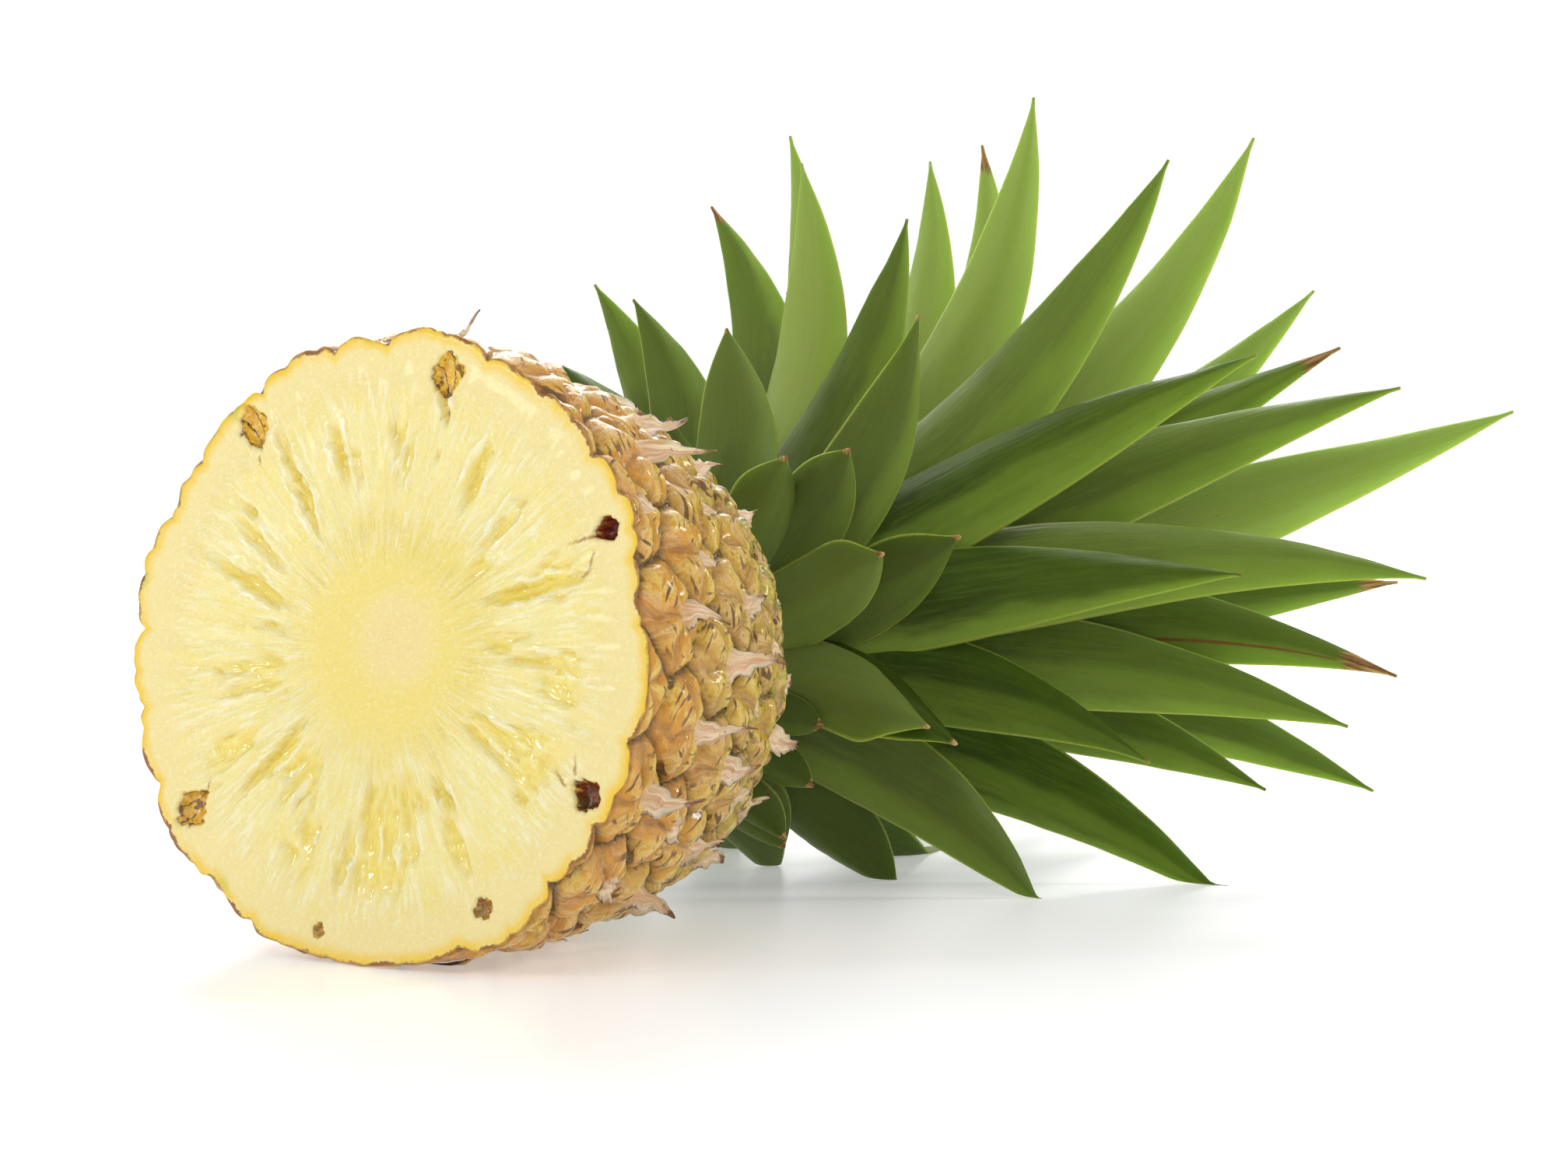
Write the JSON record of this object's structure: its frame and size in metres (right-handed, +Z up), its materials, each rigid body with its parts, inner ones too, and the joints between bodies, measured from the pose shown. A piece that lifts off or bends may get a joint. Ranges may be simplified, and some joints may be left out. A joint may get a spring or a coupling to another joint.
{
  "type": "cut pineapple half with crown",
  "caption": "Crown half of a pineapple lying on its side, with its flat cut face, eyed rind and a rosette of channelled pointed leaves on a short stem",
  "frame": {"origin": "on the small flat spot under the fruit, where it rests", "axes": "+Z up, +X level from the cut face towards the crown, +Y across"},
  "size_m": [0.2753, 0.2593, 0.1749],
  "materials": {
    "fruit": "moist pale yellow flesh on the cut, waxy golden to green rind with papery eye bracts",
    "stem": "pale green fibrous crown stem",
    "leaf": "leathery satin green with fine veins, pale bloom and dry tips"
  },
  "bodies": {
    "root": {"fruit_half": "fruit", "crown_stem": "stem", "leaf_01": "leaf", "leaf_02": "leaf", "leaf_03": "leaf", "leaf_04": "leaf", "leaf_05": "leaf", "leaf_06": "leaf", "leaf_07": "leaf", "leaf_08": "leaf", "leaf_09": "leaf", "leaf_10": "leaf", "leaf_11": "leaf", "leaf_12": "leaf", "leaf_13": "leaf", "leaf_14": "leaf", "leaf_15": "leaf", "leaf_16": "leaf", "leaf_17": "leaf", "leaf_18": "leaf", "leaf_19": "leaf", "leaf_20": "leaf", "leaf_21": "leaf", "leaf_22": "leaf", "leaf_23": "leaf", "leaf_24": "leaf", "leaf_25": "leaf", "leaf_26": "leaf", "leaf_27": "leaf", "leaf_28": "leaf", "leaf_29": "leaf", "leaf_30": "leaf", "leaf_31": "leaf", "leaf_32": "leaf", "leaf_33": "leaf", "leaf_34": "leaf", "leaf_35": "leaf", "leaf_36": "leaf", "leaf_37": "leaf", "leaf_38": "leaf", "leaf_39": "leaf", "leaf_40": "leaf", "leaf_41": "leaf", "leaf_42": "leaf", "leaf_43": "leaf", "leaf_44": "leaf", "leaf_45": "leaf", "leaf_46": "leaf", "leaf_47": "leaf", "leaf_48": "leaf", "leaf_49": "leaf", "leaf_50": "leaf", "leaf_51": "leaf", "leaf_52": "leaf", "leaf_53": "leaf", "leaf_54": "leaf", "leaf_55": "leaf", "leaf_56": "leaf", "leaf_57": "leaf", "leaf_58": "leaf"}
  },
  "joints": []
}
